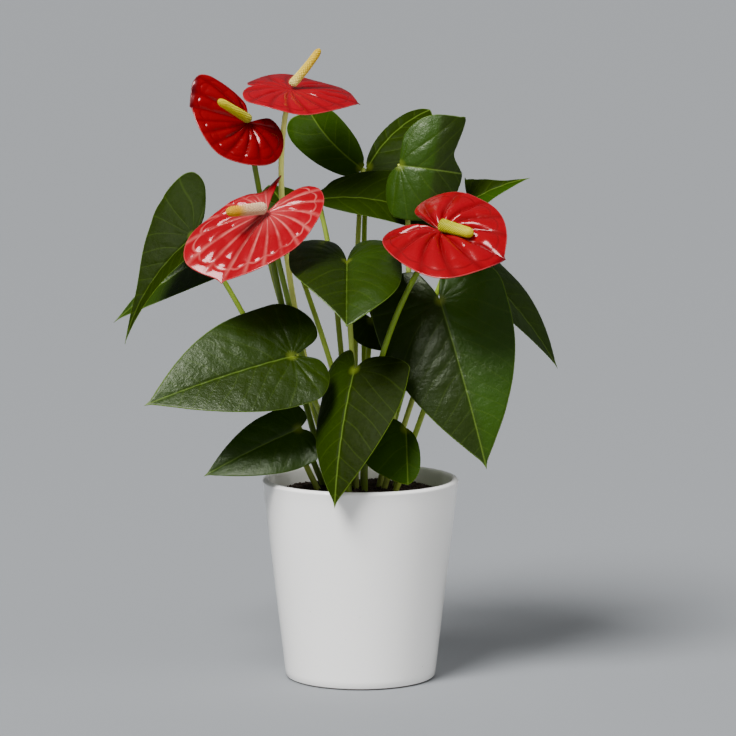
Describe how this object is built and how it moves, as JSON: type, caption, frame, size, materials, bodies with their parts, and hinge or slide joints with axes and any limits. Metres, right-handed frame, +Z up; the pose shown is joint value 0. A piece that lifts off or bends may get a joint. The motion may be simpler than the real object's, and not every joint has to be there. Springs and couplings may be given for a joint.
{
  "type": "potted anthurium plant",
  "caption": "Potted anthurium: glossy heart-shaped leaves and red spathes with yellow spadices on long stems, in a tapered white glazed pot.",
  "frame": {"origin": "middle of the pot's flat foot", "axes": "+Z up, -Y towards the side that the blooms face, +X to the viewer's right from that side"},
  "size_m": [0.3096, 0.1972, 0.4312],
  "materials": {
    "glaze": "white glazed ceramic, opaque, with fine specks",
    "potting_mix": "dark brown crumbs of peat and bark",
    "leaf": "glossy dark green with paler veins",
    "stalk": "satin pale green",
    "spathe": "waxy glossy red with sunken veins",
    "spadix": "matt yellow, closely covered with florets"
  },
  "bodies": {
    "root": {"pot": "glaze", "potting_mix": "potting_mix", "leaf_front": "leaf", "leaf_left": "leaf", "leaf_left_low": "leaf", "leaf_centre": "leaf", "leaf_right": "leaf", "leaf_right_back": "leaf", "leaf_right_top": "leaf", "leaf_top_bright": "leaf", "leaf_top_dark": "leaf", "leaf_top_back": "leaf", "leaf_top_left": "leaf", "leaf_far_left": "leaf", "leaf_far_left_back": "leaf", "leaf_back": "leaf", "leaf_right_small": "leaf", "leaf_low": "leaf", "stalk_left": "stalk", "stalk_top": "stalk", "stalk_top_left": "stalk", "stalk_right": "stalk", "spathe_left": "spathe", "spathe_top": "spathe", "spathe_top_left": "spathe", "spathe_right": "spathe", "spadix_left": "spadix", "spadix_top": "spadix", "spadix_top_left": "spadix", "spadix_right": "spadix"}
  },
  "joints": []
}
